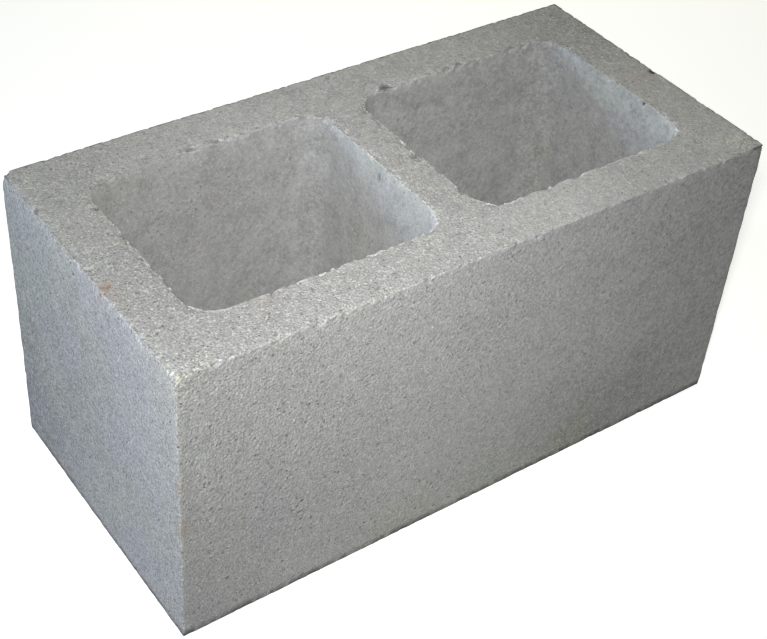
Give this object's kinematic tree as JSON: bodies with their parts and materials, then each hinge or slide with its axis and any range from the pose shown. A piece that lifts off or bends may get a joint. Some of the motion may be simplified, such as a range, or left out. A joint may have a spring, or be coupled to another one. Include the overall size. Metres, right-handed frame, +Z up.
{
  "type": "concrete block",
  "caption": "Hollow cast concrete building block with tapered vertical cores, thick face shells and plain flat ends, standing on its bed.",
  "frame": {"origin": "middle of the bed that the block stands on", "axes": "+X along the length, +Y through the thickness from the front face to the back face, +Z up from the thick bed to the thin bed where the cores are widest"},
  "size_m": [0.397, 0.194, 0.194],
  "materials": {
    "concrete": "matte"
  },
  "bodies": {
    "root": {"concrete_block": "concrete"}
  },
  "joints": []
}
